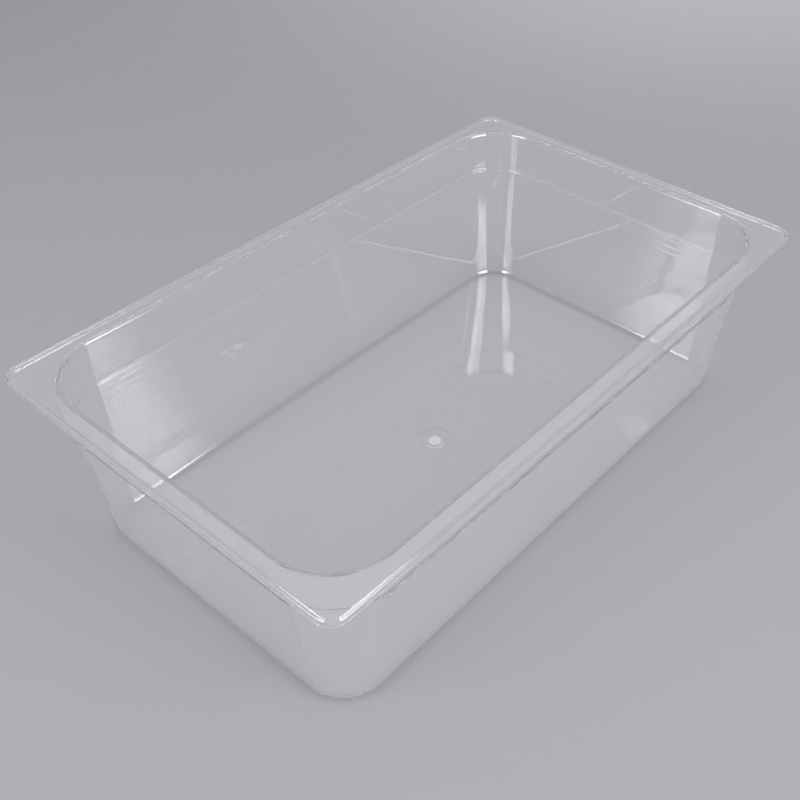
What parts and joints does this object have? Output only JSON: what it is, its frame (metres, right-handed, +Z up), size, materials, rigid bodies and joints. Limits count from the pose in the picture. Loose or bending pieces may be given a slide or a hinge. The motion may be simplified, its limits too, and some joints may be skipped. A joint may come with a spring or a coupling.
{
  "type": "clear food pan",
  "caption": "Clear full-size food pan with a deep tapered well, rounded corners, a stacking shoulder and a flat rim with a turned-down lip.",
  "frame": {"origin": "centre of the underside of the base, which the pan stands on", "axes": "+X along the long side, +Y along the short side, +Z up out of the open top"},
  "size_m": [0.53, 0.325, 0.15],
  "materials": {
    "clear_polycarbonate": "clear, colourless, glossy moulded polycarbonate with fine wear"
  },
  "bodies": {
    "root": {"pan": "clear_polycarbonate"}
  },
  "joints": []
}
